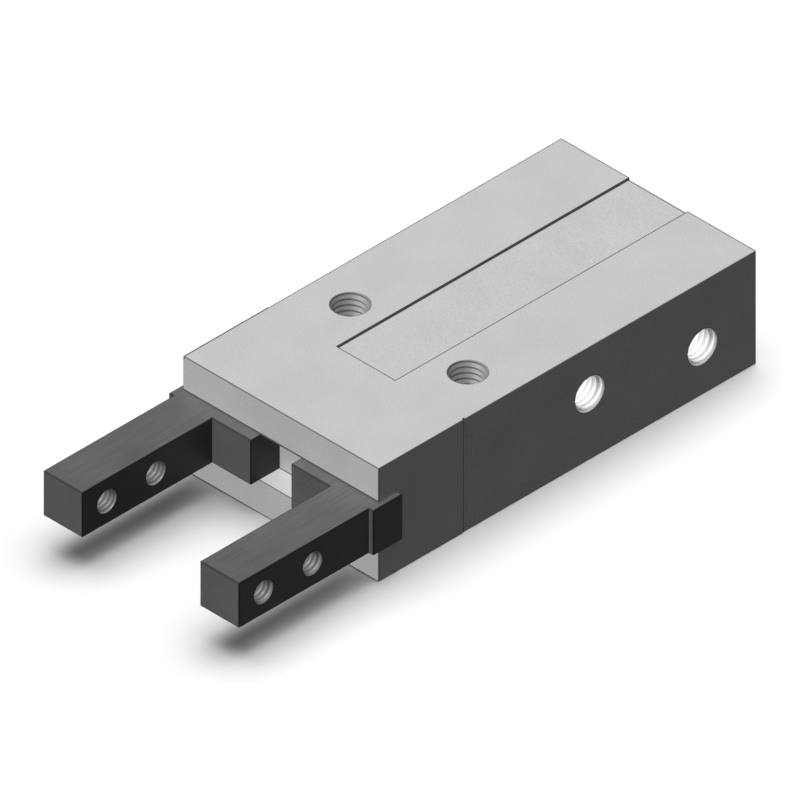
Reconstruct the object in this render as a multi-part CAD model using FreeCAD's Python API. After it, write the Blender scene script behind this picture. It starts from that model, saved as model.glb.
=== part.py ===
import FreeCAD, Part
import math
import os

# Parallel gripper driven by air: a flat block body holds a small double-acting cylinder, and two bell cranks turn
# the stroke of its piston rod into the opening and closing of two fingers, which slide on balls in the front slot.
#
# Frame, in millimetres: +Z is up, the fingers point along -Y, and the air ports are in the +X side. The origin is
# on the bottom face, midway between the two mounting holes. The fingers are modelled open, with the rod forward.
# A depth is a distance behind the body's front face. Right is +X. What is mirrored is drawn on the right first.

# Body block
BODY_WIDTH = 20.0
BODY_LENGTH = 38.6
BODY_HEIGHT = 10.0
EDGE_BREAK = 0.05
SLOT_HEIGHT = 4.0
SLOT_DEPTH = 2.0

# The sides are set back a little behind the ground front part, with a fine relief groove at the step
FRONT_PART_LENGTH = 8.7
SIDE_SETBACK = 0.05
RELIEF_WIDTH = 0.15
RELIEF_DEPTH = 0.1

# Long shallow recess in the top, open at the rear end
RECESS_WIDTH = 6.0
RECESS_DEPTH = 0.25

# Threaded holes for mounting and air, at their nominal thread size
MOUNT_THREAD = 3.0
MOUNT_SPACING = 12.0
MOUNT_SETBACK = 13.1
PORT_THREAD = 3.0
PORT_DEPTH = 4.5
PORT_RISE = 0.8
FRONT_PORT_FROM_REAR = 17.0
REAR_PORT_FROM_REAR = 5.5
PASSAGE_DIAMETER = 1.2
REAR_THREAD = 3.0
REAR_THREAD_SPACING = 14.0
REAR_THREAD_DEPTH = 3.4

# Fingers: each is a square bar on a slider, with a stem behind it that the lever drives
FINGER_STROKE = 2.0
CLOSED_GAP = 0.1
SLIDER_OVERHANG = 0.45
SLIDER_PROUD = 1.0
SLIDER_PLAY = 0.02
BAR_WIDTH = 4.0
BAR_INSET = 0.45
FINGER_REACH = 14.25
TIP_THREAD = 2.0
TIP_THREAD_EDGE = 2.5
TIP_THREAD_PITCH = 5.0
STEM_WIDTH = 2.8
STEM_HEIGHT = 2.8
STEM_OFFSET = 0.25
STEM_ROOT = 0.7
STEM_OVERRUN = 0.6

# Ball rows that guide each slider, above and below it
BALL_DIAMETER = 1.0
BALLS_PER_ROW = 4
BALL_PITCH = 1.05
BALL_GAP = 0.02
ROW_END_PLAY = 0.05

# Levers: a front arm reaches into the finger's stem, and an inner arm into the rod's head
FRONT_ARM = 5.4
FRONT_TIP_RADIUS = 0.8
FRONT_NECK_RADIUS = 0.4
FRONT_ROOT_RADIUS = 1.4
INNER_TIP_RADIUS = 0.65
INNER_NECK_RADIUS = 0.35
INNER_ROOT_RADIUS = 1.2
HUB_RADIUS = 1.7
TIP_PLAY = 0.02
NOTCH_FLOOR_GAP = 0.1
WASHER_THICKNESS = 0.3
WASHER_RADIUS = 1.4
LEVER_END_PLAY = 0.05

# Pins that the levers turn on, pressed in from below
SHAFT_DIAMETER = 1.5
SHAFT_SEAT = 1.5
SHAFT_RECESS = 0.2
SHAFT_TIP_GAP = 0.1
PRESS_GAP = 0.01
RUNNING_GAP = 0.02

# Chamber that the levers move in, milled from the front between the slot's two lips
CHAMBER_CORNER = 0.5
CHAMBER_WALL = 2.0
HUB_CLEARANCE = 0.2
CENTRE_PLATE_GAP = 0.1
CENTRE_PLATE_THICKNESS = 1.0

# Piston rod and its head, notched on both sides for the levers
ROD_DIAMETER = 3.0
ROD_TAIL_DIAMETER = 2.0
HEAD_WIDTH = 4.1
HEAD_CONTACT_X = 1.5
HEAD_HEIGHT = 3.4
HEAD_FLANGE = 0.83
HEAD_NOTCH_FLOOR_GAP = 0.1
HEAD_CLEARANCE = 0.25

# Rod bush, seal and washer, in the wall between the chamber and the cylinder
BUSH_SHOULDER = 0.6
SHOULDER_BORE = 3.4
BUSH_DIAMETER = 4.0
SEAL_DIAMETER = 5.0
SEAL_LENGTH = 1.8
SEAL_END_GAP = 0.1
SEAL_LIP_DEPTH = 0.9
SEAL_WASHER_THICKNESS = 0.8
SEAL_WASHER_BORE = 3.3
BUMPER_THICKNESS = 1.0
BUMPER_BORE = 3.6
BUMPER_RIM_GAP = 0.2

# Cylinder and piston
CYLINDER_BORE = 6.0
PASSAGE_MARGIN = 0.1
PISTON_END_GAP = 0.05
PISTON_RIM_GAP = 0.06
PISTON_NOSE_DIAMETER = 4.6
PISTON_LAND = 0.8
PISTON_GROOVE_WIDTH = 1.5
PISTON_GROOVE_CORE = 4.2
RING_SIDE_GAP = 0.05
WEAR_RING_SLIT = 0.25
MAGNET_LENGTH = 2.4
MAGNET_HUB_DIAMETER = 3.2
MAGNET_DIAMETER = 5.4
MAGNET_HOLDER_THICKNESS = 0.6
MAGNET_HOLDER_DIAMETER = 5.7
PISTON_NUT_LENGTH = 1.4
PISTON_NUT_FLATS = 3.6

# End cap, held in the rear of the cylinder by a retaining ring
CAP_BORE = 7.4
CAP_GAP = 0.02
REAR_BUMPER_DIAMETER = 4.2
REAR_BUMPER_PROUD = 0.5
REAR_BUMPER_SEAT = 0.6
O_RING_GROOVE_WIDTH = 1.2
O_RING_GROOVE_CORE = 5.8
RING_SETBACK = 0.8
RING_THICKNESS = 0.6
RING_GROOVE_DEPTH = 0.35
RING_WIDTH = 0.75
RING_OPENING = 50.0
RING_EAR_RADIUS = 0.75
RING_EAR_HOLE = 0.7
RING_GROOVE_PLAY = 0.03

# Heights and half sizes that follow
mid_z = BODY_HEIGHT / 2.0
slot_floor_z = mid_z - SLOT_HEIGHT / 2.0
slot_roof_z = mid_z + SLOT_HEIGHT / 2.0
half_width = BODY_WIDTH / 2.0
finger_height = SLOT_HEIGHT - 2.0 * SLIDER_PLAY

# Places of each finger's features across the width, with the fingers open
slider_inner = CLOSED_GAP / 2.0 + FINGER_STROKE
slider_outer = half_width + SLIDER_OVERHANG
slider_centre = (slider_inner + slider_outer) / 2.0
bar_outer = slider_outer - BAR_INSET
bar_inner = bar_outer - BAR_WIDTH
stem_centre = slider_centre + STEM_OFFSET

# The lever swings evenly to both sides of straight ahead, so its pivot is level with the stem at mid-stroke
pivot_x = stem_centre - FINGER_STROKE / 2.0
pivot_depth = SLOT_DEPTH + STEM_ROOT + NOTCH_FLOOR_GAP + FRONT_TIP_RADIUS + FRONT_ARM
inner_arm = pivot_x - HEAD_CONTACT_X
swing = math.asin(FINGER_STROKE / 2.0 / FRONT_ARM)
rod_stroke = 2.0 * inner_arm * math.sin(swing)
stem_end = pivot_depth - FRONT_ARM + STEM_OVERRUN
notch_floor = SLOT_DEPTH + STEM_ROOT

# Lever chamber
chamber_half_width = half_width - CHAMBER_WALL
chamber_end = pivot_depth + HUB_RADIUS + HUB_CLEARANCE
head_half_length = INNER_TIP_RADIUS + TIP_PLAY + HEAD_FLANGE
head_open = pivot_depth - rod_stroke / 2.0
head_pocket_end = pivot_depth + rod_stroke / 2.0 + head_half_length + HEAD_CLEARANCE
head_pocket_width = HEAD_WIDTH + 2.0 * HEAD_CLEARANCE

# Depths along the cylinder, from the air ports
front_port = BODY_LENGTH - FRONT_PORT_FROM_REAR
rear_port = BODY_LENGTH - REAR_PORT_FROM_REAR
cylinder_front = front_port - PASSAGE_DIAMETER / 2.0 - PASSAGE_MARGIN
washer_rear = cylinder_front - BUMPER_THICKNESS
washer_front = washer_rear - SEAL_WASHER_THICKNESS
seal_front = washer_front - SEAL_LENGTH
bush_front = head_pocket_end + BUSH_SHOULDER
piston_front = cylinder_front + PISTON_END_GAP
piston_nose_end = front_port + PASSAGE_DIAMETER / 2.0 + PASSAGE_MARGIN
rear_bumper_front = rear_port + PASSAGE_DIAMETER / 2.0 + PASSAGE_MARGIN
nut_end = rear_bumper_front - PISTON_END_GAP - rod_stroke
nut_front = nut_end - PISTON_NUT_LENGTH
holder_front = nut_front - MAGNET_HOLDER_THICKNESS
magnet_front = holder_front - MAGNET_LENGTH
seal_groove = piston_nose_end + PISTON_LAND
wear_groove = seal_groove + PISTON_GROOVE_WIDTH + PISTON_LAND
cap_front = rear_bumper_front + REAR_BUMPER_PROUD
ring_rear = BODY_LENGTH - RING_SETBACK
ring_front = ring_rear - RING_THICKNESS

# Ball rows: the body's groove lies where the slider covers it at both ends of the stroke
guide_depth = SLOT_DEPTH / 2.0
ball_radius = BALL_DIAMETER / 2.0
row_length = (BALLS_PER_ROW - 1) * BALL_PITCH
ball_travel = FINGER_STROKE / 2.0
groove_run = row_length + ball_travel + 2.0 * ROW_END_PLAY
body_groove_centre = slider_centre - FINGER_STROKE / 2.0
row_centre = body_groove_centre + ball_travel / 2.0

X_AXIS = FreeCAD.Vector(1, 0, 0)
Y_AXIS = FreeCAD.Vector(0, 1, 0)
Z_AXIS = FreeCAD.Vector(0, 0, 1)
ORIGIN = FreeCAD.Vector(0, 0, 0)
PAST = 1.0


def point(x, depth, z):
    """Return the point at x, at a depth behind the front face, at height z."""
    return FreeCAD.Vector(x, depth - MOUNT_SETBACK, z)


def block(x0, x1, depth0, depth1, z0, z1):
    """Return a plain block between two values on each axis."""
    return Part.makeBox(x1 - x0, depth1 - depth0, z1 - z0, point(x0, depth0, z0))


def middle_block(x0, x1, depth0, depth1, height):
    """Return a block that is centred on the body's mid-height."""
    return block(x0, x1, depth0, depth1, mid_z - height / 2.0, mid_z + height / 2.0)


def rod_along(radius, depth0, depth1, x=0.0, z=mid_z):
    """Return a cylinder along the body's length, between two depths."""
    return Part.makeCylinder(radius, depth1 - depth0, point(x, depth0, z), Y_AXIS)


def tube_along(outer, inner, depth0, depth1):
    """Return a tube on the cylinder's axis, from its outer and inner radius."""
    return rod_along(outer, depth0, depth1).cut(rod_along(inner, depth0 - PAST, depth1 + PAST))


def upright(radius, x, depth, z0, z1):
    """Return an upright cylinder between two heights."""
    return Part.makeCylinder(radius, z1 - z0, point(x, depth, z0), Z_AXIS)


def mirrored(shape):
    """Return the left-hand copy of a right-hand shape."""
    return shape.mirror(ORIGIN, X_AXIS)


def broken_edges(solid, keep=lambda edge: False):
    """Return the solid with its edges broken by a small flat, except those that keep() names."""
    edges = [edge for edge in solid.Edges if not keep(edge)]
    return solid.makeChamfer(EDGE_BREAK, edges)


def lies_at_depth(depth):
    """Return a test for edges that lie wholly at one depth."""
    y = depth - MOUNT_SETBACK

    def test(edge):
        return all(abs(vertex.Y - y) < 1e-6 for vertex in edge.Vertexes)

    return test


def turned_along(profile):
    """Return the solid that a closed outline of (depth, radius) points makes round the cylinder's axis."""
    corners = [point(radius, depth, mid_z) for depth, radius in profile]
    face = Part.Face(Part.makePolygon(corners + corners[:1]))
    return face.revolve(point(0, 0, mid_z), Y_AXIS, 360)


def ball_groove(centre_x, z):
    """Return the round-ended groove that a row of balls rolls in."""
    radius = ball_radius + BALL_GAP
    start = point(centre_x - groove_run / 2.0, guide_depth, z)
    end = point(centre_x + groove_run / 2.0, guide_depth, z)
    run = Part.makeCylinder(radius, groove_run, start, X_AXIS)
    return run.fuse([Part.makeSphere(radius, start), Part.makeSphere(radius, end)])


def body_block():
    """Return the outer block: the full-width front part and the slightly narrower rear part."""
    at_step = lies_at_depth(FRONT_PART_LENGTH)
    rear_half = half_width - SIDE_SETBACK
    front = block(-half_width, half_width, 0, FRONT_PART_LENGTH, 0, BODY_HEIGHT)
    rear = block(-rear_half, rear_half, FRONT_PART_LENGTH, BODY_LENGTH, 0, BODY_HEIGHT)
    solid = broken_edges(front, at_step).fuse(broken_edges(rear, at_step)).removeSplitter()
    groove_half = rear_half - RELIEF_DEPTH
    groove = block(groove_half, half_width + PAST, FRONT_PART_LENGTH, FRONT_PART_LENGTH + RELIEF_WIDTH, -PAST,
                   BODY_HEIGHT + PAST)
    return solid.cut([groove, mirrored(groove)])


def lever_chamber():
    """Return the space behind the slot that holds the stems, the levers and the rod's head."""
    across = [(-chamber_half_width, slot_floor_z), (chamber_half_width, slot_floor_z),
              (chamber_half_width, slot_roof_z), (-chamber_half_width, slot_roof_z)]
    corners = [point(x, SLOT_DEPTH, z) for x, z in across]
    face = Part.Face(Part.makePolygon(corners + corners[:1]))
    room = face.extrude(FreeCAD.Vector(0, chamber_end - SLOT_DEPTH, 0))
    long_edges = [edge for edge in room.Edges if abs(edge.tangentAt(edge.FirstParameter).y) > 0.9]
    room = room.makeFillet(CHAMBER_CORNER, long_edges)
    head_pocket = middle_block(-head_pocket_width / 2.0, head_pocket_width / 2.0, SLOT_DEPTH, head_pocket_end,
                               SLOT_HEIGHT)
    return room.fuse(head_pocket)


def cylinder_space():
    """Return the stepped bore of the cylinder, from the chamber to the open rear end."""
    steps = [
        (SHOULDER_BORE / 2.0, head_pocket_end, bush_front),
        (BUSH_DIAMETER / 2.0, bush_front, seal_front),
        (SEAL_DIAMETER / 2.0, seal_front, washer_front),
        (CYLINDER_BORE / 2.0, washer_front, cap_front),
        (CAP_BORE / 2.0, cap_front, BODY_LENGTH + PAST),
        (CAP_BORE / 2.0 + RING_GROOVE_DEPTH, ring_front, ring_rear),
    ]
    first = rod_along(*steps[0])
    return first.fuse([rod_along(*step) for step in steps[1:]])


def port_space(depth, z):
    """Return one threaded air port in the right side and the passage from it to the cylinder."""
    floor_x = half_width - SIDE_SETBACK - PORT_DEPTH
    thread = Part.makeCylinder(PORT_THREAD / 2.0, PORT_DEPTH + PAST, point(floor_x, depth, z), X_AXIS)
    passage = Part.makeCylinder(PASSAGE_DIAMETER / 2.0, floor_x, point(0, depth, z), X_AXIS)
    return thread.fuse(passage)


def body():
    """Return the one-piece body."""
    slot = middle_block(-half_width - PAST, half_width + PAST, -PAST, SLOT_DEPTH, SLOT_HEIGHT)
    recess = block(-RECESS_WIDTH / 2.0, RECESS_WIDTH / 2.0, FRONT_PART_LENGTH, BODY_LENGTH + PAST,
                   BODY_HEIGHT - RECESS_DEPTH, BODY_HEIGHT + PAST)
    cuts = [slot, recess, lever_chamber(), cylinder_space()]
    cuts.append(port_space(front_port, mid_z + PORT_RISE))
    cuts.append(port_space(rear_port, mid_z - PORT_RISE))
    for side in (-1, 1):
        mount_x = side * MOUNT_SPACING / 2.0
        cuts.append(upright(MOUNT_THREAD / 2.0, mount_x, MOUNT_SETBACK, -PAST, BODY_HEIGHT + PAST))
        cuts.append(rod_along(REAR_THREAD / 2.0, BODY_LENGTH - REAR_THREAD_DEPTH, BODY_LENGTH + PAST,
                              side * REAR_THREAD_SPACING / 2.0))
        cuts.append(upright(SHAFT_DIAMETER / 2.0 + PRESS_GAP, side * pivot_x, pivot_depth, -PAST,
                            slot_roof_z + SHAFT_SEAT))
        for lip_z in (slot_floor_z, slot_roof_z):
            cuts.append(ball_groove(side * body_groove_centre, lip_z))
    return body_block().cut(cuts)


def centre_plate():
    """Return the plate pressed between the slot's lips, which closes the chamber between the two stems."""
    stem_inner_closed = stem_centre - STEM_WIDTH / 2.0 - FINGER_STROKE
    half = stem_inner_closed - CENTRE_PLATE_GAP
    return middle_block(-half, half, SLOT_DEPTH, SLOT_DEPTH + CENTRE_PLATE_THICKNESS, SLOT_HEIGHT)


def finger():
    """Return the right finger: bar, slider and stem in one piece, at its open place."""
    slider = broken_edges(middle_block(slider_inner, slider_outer, -SLIDER_PROUD, SLOT_DEPTH, finger_height))
    joins_slider = lies_at_depth(-SLIDER_PROUD)
    bar = broken_edges(middle_block(bar_inner, bar_outer, -FINGER_REACH, -SLIDER_PROUD, finger_height),
                       joins_slider)
    bar_root = middle_block(bar_inner + EDGE_BREAK, bar_outer - EDGE_BREAK, -SLIDER_PROUD, SLOT_DEPTH / 2.0,
                            finger_height)
    stem = middle_block(stem_centre - STEM_WIDTH / 2.0, stem_centre + STEM_WIDTH / 2.0, SLOT_DEPTH / 2.0,
                        stem_end, STEM_HEIGHT)
    solid = slider.fuse([bar, bar_root, stem])
    notch_radius = FRONT_TIP_RADIUS + TIP_PLAY
    notch = middle_block(stem_centre - notch_radius, stem_centre + notch_radius, notch_floor, stem_end + PAST,
                         STEM_HEIGHT + 2.0 * PAST)
    cuts = [notch]
    for along in range(2):
        hole_depth = -FINGER_REACH + TIP_THREAD_EDGE + along * TIP_THREAD_PITCH
        cuts.append(Part.makeCylinder(TIP_THREAD / 2.0, BAR_WIDTH + 2.0 * PAST,
                                      point(bar_inner - PAST, hole_depth, mid_z), X_AXIS))
    for lip_z in (slot_floor_z, slot_roof_z):
        cuts.append(ball_groove(slider_centre, lip_z))
    return solid.cut(cuts).removeSplitter()


def guide_balls():
    """Return the eight balls of the right slider, in a row over it and a row under it."""
    balls = []
    for lip_z in (slot_floor_z, slot_roof_z):
        for place in range(BALLS_PER_ROW):
            x = row_centre - row_length / 2.0 + place * BALL_PITCH
            balls.append(Part.makeSphere(ball_radius, point(x, guide_depth, lip_z)))
    return Part.makeCompound(balls)


def tapered_arm(end_x, end_depth, root_radius, end_radius, z0, z1):
    """Return an arm from the pivot to an end point: two round ends joined by the lines that touch both."""
    reach_x = end_x - pivot_x
    reach_y = end_depth - pivot_depth
    length = math.hypot(reach_x, reach_y)
    heading = math.atan2(reach_y, reach_x)
    lean = math.acos((root_radius - end_radius) / length)

    def on_circle(centre_x, centre_depth, radius, angle):
        return point(centre_x + radius * math.cos(angle), centre_depth + radius * math.sin(angle), z0)

    root_left = on_circle(pivot_x, pivot_depth, root_radius, heading + lean)
    root_back = on_circle(pivot_x, pivot_depth, root_radius, heading + math.pi)
    root_right = on_circle(pivot_x, pivot_depth, root_radius, heading - lean)
    end_right = on_circle(end_x, end_depth, end_radius, heading - lean)
    end_front = on_circle(end_x, end_depth, end_radius, heading)
    end_left = on_circle(end_x, end_depth, end_radius, heading + lean)
    edges = [
        Part.Arc(root_left, root_back, root_right).toShape(),
        Part.LineSegment(root_right, end_right).toShape(),
        Part.Arc(end_right, end_front, end_left).toShape(),
        Part.LineSegment(end_left, root_left).toShape(),
    ]
    return Part.Face(Part.Wire(edges)).extrude(FreeCAD.Vector(0, 0, z1 - z0))


def lever():
    """Return the right lever, a bell crank, turned to its place with the fingers open."""
    z0 = slot_floor_z + WASHER_THICKNESS + LEVER_END_PLAY
    z1 = slot_roof_z - WASHER_THICKNESS - LEVER_END_PLAY
    front_depth = pivot_depth - FRONT_ARM
    front = tapered_arm(pivot_x, front_depth, FRONT_ROOT_RADIUS, FRONT_NECK_RADIUS, z0, z1)
    inner = tapered_arm(HEAD_CONTACT_X, pivot_depth, INNER_ROOT_RADIUS, INNER_NECK_RADIUS, z0, z1)
    hub = upright(HUB_RADIUS, pivot_x, pivot_depth, z0, z1)
    front_tip = upright(FRONT_TIP_RADIUS, pivot_x, front_depth, z0, z1)
    inner_tip = upright(INNER_TIP_RADIUS, HEAD_CONTACT_X, pivot_depth, z0, z1)
    crank = hub.fuse([front, inner, front_tip, inner_tip]).removeSplitter()
    bore = upright(SHAFT_DIAMETER / 2.0 + RUNNING_GAP, pivot_x, pivot_depth, z0 - PAST, z1 + PAST)
    crank = crank.cut(bore)
    crank.rotate(point(pivot_x, pivot_depth, 0), Z_AXIS, math.degrees(swing))
    return crank


def lever_shaft():
    """Return the right lever's pin."""
    return upright(SHAFT_DIAMETER / 2.0, pivot_x, pivot_depth, SHAFT_RECESS,
                   slot_roof_z + SHAFT_SEAT - SHAFT_TIP_GAP)


def lever_washers():
    """Return the four thin washers over and under the levers."""
    washers = []
    for z0 in (slot_floor_z, slot_roof_z - WASHER_THICKNESS):
        z1 = z0 + WASHER_THICKNESS
        disc = upright(WASHER_RADIUS, pivot_x, pivot_depth, z0, z1)
        hole = upright(SHAFT_DIAMETER / 2.0 + RUNNING_GAP, pivot_x, pivot_depth, z0 - PAST, z1 + PAST)
        washer = disc.cut(hole)
        washers += [washer, mirrored(washer)]
    return Part.makeCompound(washers)


def piston_rod():
    """Return the rod with its notched head in front and its thin threaded tail behind."""
    head_front = head_open - head_half_length
    head_rear = head_open + head_half_length
    head = middle_block(-HEAD_WIDTH / 2.0, HEAD_WIDTH / 2.0, head_front, head_rear, HEAD_HEIGHT)
    solid = head.fuse([rod_along(ROD_DIAMETER / 2.0, head_rear, piston_front),
                       rod_along(ROD_TAIL_DIAMETER / 2.0, piston_front, nut_end)])
    notch_half = INNER_TIP_RADIUS + TIP_PLAY
    notch_floor_x = HEAD_CONTACT_X - INNER_TIP_RADIUS - HEAD_NOTCH_FLOOR_GAP
    notch = middle_block(notch_floor_x, HEAD_WIDTH / 2.0 + PAST, head_open - notch_half, head_open + notch_half,
                         HEAD_HEIGHT + 2.0 * PAST)
    return solid.cut([notch, mirrored(notch)])


def piston():
    """Return the piston: nose, grooves for its seal and wear ring, and the hub that the magnet sits on."""
    core = PISTON_GROOVE_CORE / 2.0
    land = CYLINDER_BORE / 2.0 - PISTON_RIM_GAP
    nose = PISTON_NOSE_DIAMETER / 2.0
    hub = MAGNET_HUB_DIAMETER / 2.0
    hole = ROD_TAIL_DIAMETER / 2.0 + PRESS_GAP
    profile = [(piston_front, hole), (piston_front, nose), (piston_nose_end, nose), (piston_nose_end, land)]
    for groove in (seal_groove, wear_groove):
        groove_end = groove + PISTON_GROOVE_WIDTH
        profile += [(groove, land), (groove, core), (groove_end, core), (groove_end, land)]
    profile += [(magnet_front, land), (magnet_front, hub), (holder_front, hub), (holder_front, hole)]
    return turned_along(profile)


def groove_ring(groove):
    """Return a plain ring that fills one groove of the piston and runs in the bore."""
    outer = CYLINDER_BORE / 2.0 - RUNNING_GAP
    inner = PISTON_GROOVE_CORE / 2.0 + RUNNING_GAP
    return tube_along(outer, inner, groove + RING_SIDE_GAP, groove + PISTON_GROOVE_WIDTH - RING_SIDE_GAP)


def wear_ring():
    """Return the guide ring of the piston, with the slit that lets it spring over the piston."""
    slit = block(-WEAR_RING_SLIT / 2.0, WEAR_RING_SLIT / 2.0, wear_groove, wear_groove + PISTON_GROOVE_WIDTH,
                 mid_z, BODY_HEIGHT)
    return groove_ring(wear_groove).cut(slit)


def piston_nut():
    """Return the hexagon nut that clamps the piston on the rod's tail."""
    corner_radius = PISTON_NUT_FLATS / math.sqrt(3.0)
    corners = []
    for corner in range(6):
        angle = math.radians(60.0 * corner)
        corners.append(point(corner_radius * math.cos(angle), nut_front, mid_z + corner_radius * math.sin(angle)))
    prism = Part.Face(Part.makePolygon(corners + corners[:1])).extrude(
        FreeCAD.Vector(0, PISTON_NUT_LENGTH, 0))
    return prism.cut(rod_along(ROD_TAIL_DIAMETER / 2.0 + PRESS_GAP, nut_front - PAST, nut_end + PAST))


def rod_seal():
    """Return the lip seal of the rod, with its open side to the cylinder's pressure."""
    outer = SEAL_DIAMETER / 2.0 - RUNNING_GAP
    inner = ROD_DIAMETER / 2.0 + RUNNING_GAP
    front = seal_front + SEAL_END_GAP
    rear = washer_front - SEAL_END_GAP
    middle = (outer + inner) / 2.0
    lip = (outer - inner) / 4.0
    profile = [(front, inner), (front, outer), (rear, outer), (rear, outer - lip),
               (rear - SEAL_LIP_DEPTH, middle), (rear, inner + lip), (rear, inner)]
    return turned_along(profile)


def end_cap():
    """Return the plug that closes the cylinder, with a seat for its bumper and a groove for its ring."""
    outer = CAP_BORE / 2.0 - CAP_GAP
    seat = REAR_BUMPER_DIAMETER / 2.0
    core = O_RING_GROOVE_CORE / 2.0
    groove = (cap_front + ring_front - O_RING_GROOVE_WIDTH) / 2.0
    groove_end = groove + O_RING_GROOVE_WIDTH
    seat_floor = cap_front + REAR_BUMPER_SEAT
    profile = [(seat_floor, 0), (seat_floor, seat), (cap_front, seat), (cap_front, outer - EDGE_BREAK),
               (cap_front + EDGE_BREAK, outer), (groove, outer), (groove, core), (groove_end, core),
               (groove_end, outer), (ring_front - EDGE_BREAK, outer), (ring_front, outer - EDGE_BREAK),
               (ring_front, 0)]
    return turned_along(profile)


def cap_o_ring():
    """Return the rubber ring round the end cap."""
    space = CAP_BORE / 2.0 - O_RING_GROOVE_CORE / 2.0
    section = space / 2.0 - PRESS_GAP
    centre = O_RING_GROOVE_CORE / 2.0 + space / 2.0
    middle = (cap_front + ring_front) / 2.0
    return Part.makeTorus(centre, section, point(0, middle, mid_z), Y_AXIS)


def retaining_ring():
    """Return the stamped ring that holds the cap: open at the bottom, with two ears for the pliers."""
    outer = CAP_BORE / 2.0 + RING_GROOVE_DEPTH - RING_GROOVE_PLAY
    inner = outer - RING_WIDTH
    band = tube_along(outer, inner, ring_front, ring_rear)
    half = math.radians(RING_OPENING / 2.0)
    far = 2.0 * outer
    edge_x = far * math.sin(half)
    edge_z = mid_z - far * math.cos(half)
    wedge = [point(0, ring_front - PAST, mid_z), point(edge_x, ring_front - PAST, edge_z),
             point(-edge_x, ring_front - PAST, edge_z)]
    gap = Part.Face(Part.makePolygon(wedge + wedge[:1])).extrude(
        FreeCAD.Vector(0, RING_THICKNESS + 2.0 * PAST, 0))
    band = band.cut(gap)
    ear_angle = half + RING_EAR_RADIUS / inner
    ear_x = (inner - RING_EAR_HOLE / 2.0) * math.sin(ear_angle)
    ear_z = mid_z - (inner - RING_EAR_HOLE / 2.0) * math.cos(ear_angle)
    for side in (-1, 1):
        ear = rod_along(RING_EAR_RADIUS, ring_front, ring_rear, side * ear_x, ear_z)
        hole = rod_along(RING_EAR_HOLE / 2.0, ring_front - PAST, ring_rear + PAST, side * ear_x, ear_z)
        band = band.fuse(ear).cut(hole)
    return band.common(rod_along(outer, ring_front, ring_rear))


right_finger = finger()
right_balls = guide_balls()
right_lever = lever()
right_shaft = lever_shaft()

parts = {
    "body": body(),
    "centre_plate": centre_plate(),
    "finger_right": right_finger,
    "finger_left": mirrored(right_finger),
    "guide_balls_right": right_balls,
    "guide_balls_left": mirrored(right_balls),
    "lever_right": right_lever,
    "lever_left": mirrored(right_lever),
    "lever_shaft_right": right_shaft,
    "lever_shaft_left": mirrored(right_shaft),
    "lever_washers": lever_washers(),
    "piston_rod": piston_rod(),
    "piston": piston(),
    "piston_seal": groove_ring(seal_groove),
    "wear_ring": wear_ring(),
    "magnet": tube_along(MAGNET_DIAMETER / 2.0, MAGNET_HUB_DIAMETER / 2.0 + PRESS_GAP, magnet_front, holder_front),
    "magnet_holder": tube_along(MAGNET_HOLDER_DIAMETER / 2.0, ROD_TAIL_DIAMETER / 2.0 + PRESS_GAP, holder_front,
                                nut_front),
    "piston_nut": piston_nut(),
    "rod_bush": tube_along(BUSH_DIAMETER / 2.0 - PRESS_GAP, ROD_DIAMETER / 2.0 + RUNNING_GAP, bush_front,
                           seal_front),
    "rod_seal": rod_seal(),
    "seal_washer": tube_along(CYLINDER_BORE / 2.0 - PRESS_GAP, SEAL_WASHER_BORE / 2.0, washer_front, washer_rear),
    "front_bumper": tube_along(CYLINDER_BORE / 2.0 - BUMPER_RIM_GAP, BUMPER_BORE / 2.0, washer_rear,
                               cylinder_front),
    "end_cap": end_cap(),
    "rear_bumper": rod_along(REAR_BUMPER_DIAMETER / 2.0 - RUNNING_GAP, rear_bumper_front,
                             cap_front + REAR_BUMPER_SEAT),
    "cap_o_ring": cap_o_ring(),
    "retaining_ring": retaining_ring(),
}

os.makedirs("parts", exist_ok=True)
for name, shape in parts.items():
    shape.exportStep(f"parts/{name}.step")
    solids = len(shape.Solids)
    print(f"{name}: {solids} solid{'s' if solids > 1 else ''}, {shape.Volume:.2f} mm3, valid {shape.isValid()}")
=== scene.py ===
# %% [markdown]
# # A small parallel gripper, dressed for its picture
#
# The object is an air-driven gripper the size of a matchbox: a grey aluminium block with an open slot across
# one end, and two dark steel fingers that slide apart and together in that slot. Its solids come from the
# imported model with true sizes, so this lesson changes no shape. It adds what a solid lacks: the screw threads
# in its holes, the finish of each metal and rubber, the studio light and the camera.

# %% Load the frame
import math

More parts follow.
